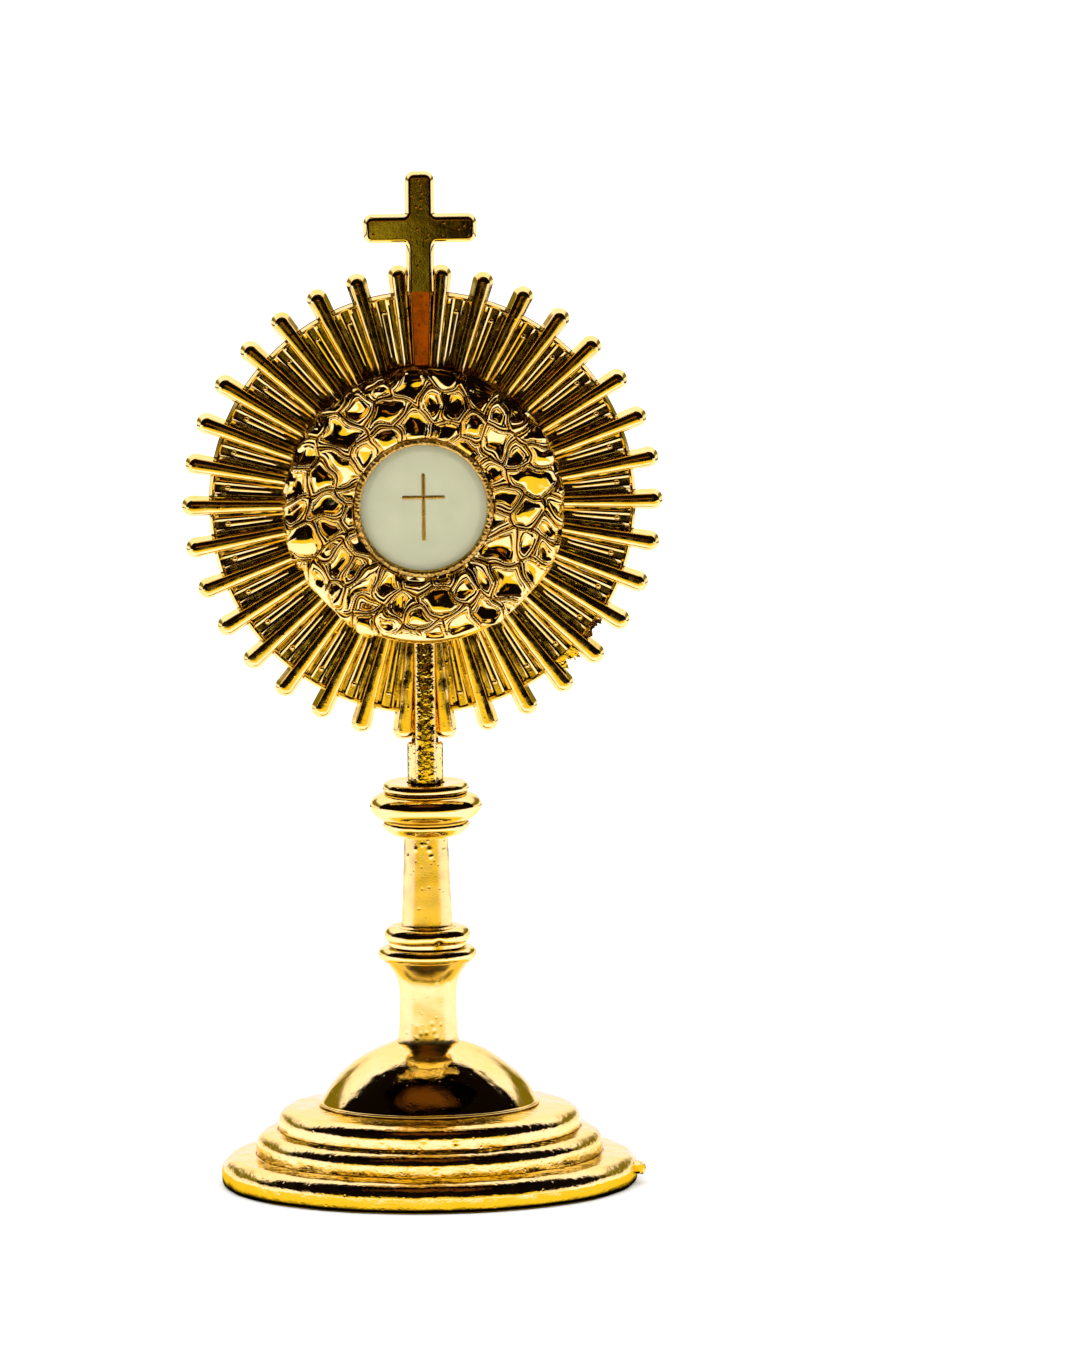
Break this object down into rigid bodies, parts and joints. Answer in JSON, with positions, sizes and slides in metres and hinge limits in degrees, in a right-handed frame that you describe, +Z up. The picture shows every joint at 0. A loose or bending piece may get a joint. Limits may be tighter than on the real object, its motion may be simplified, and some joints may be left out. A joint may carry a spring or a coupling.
{
  "type": "monstrance",
  "caption": "Gilt sunburst monstrance: stepped foot with dome, turned stem with knop, long rays, cloud wreath, round host chamber with rear door, cross on top.",
  "frame": {"origin": "on the floor, under the middle of the foot", "axes": "+Z up, the front with the host faces -Y, +X to the viewer's right"},
  "size_m": [0.1074, 0.093, 0.2286],
  "materials": {
    "gilt_brass": "gold plated, bright, cast grain",
    "gilt_polished": "gold plated, mirror bright",
    "dark_gilt": "gold plated, finely textured",
    "raw_brass": "plain, satin",
    "steel": "zinc plated",
    "host": "ivory, smooth",
    "glass": "clear, polished"
  },
  "bodies": {
    "stand": {"base_foot": "gilt_brass", "base_dome": "gilt_polished", "clamp_plate": "raw_brass", "spring_washer": "steel", "base_nut": "steel", "tie_rod": "steel", "lower_column": "gilt_brass", "collar_ring": "gilt_brass", "upper_column": "gilt_brass", "knop_lower_ring": "gilt_brass", "knop": "gilt_polished", "knop_upper_ring": "gilt_brass", "head_tang": "gilt_brass", "tang_screws": "steel", "glory_plate": "gilt_brass", "long_rays": "gilt_brass", "top_spike": "gilt_brass", "spike_rivet": "raw_brass", "finial_pin": "steel", "cross_finial": "gilt_polished", "wreath": "gilt_polished", "wreath_rivets": "raw_brass", "capsule": "gilt_brass", "capsule_screws": "steel", "bezel": "dark_gilt", "front_glass": "glass", "hinge_pin": "steel", "button_screw": "steel"},
    "door": {"rear_door": "gilt_brass", "door_glass": "glass", "luna_ring": "gilt_brass", "host_disc": "host", "host_emblem": "dark_gilt", "luna_clip": "steel", "door_knob": "gilt_polished"},
    "button": {"turn_button": "gilt_polished"}
  },
  "joints": [
    {"name": "door_hinge", "type": "hinge", "parent": "stand", "child": "door", "pos_m": [-0.0203, 0.0034, 0.1536], "axis": [0, 0, 1], "range_deg": [0, 110]},
    {"name": "button_turn", "type": "hinge", "parent": "stand", "child": "button", "pos_m": [0.0214, 0.0043, 0.1536], "axis": [0, 1, 0], "range_deg": [0, 90]}
  ]
}
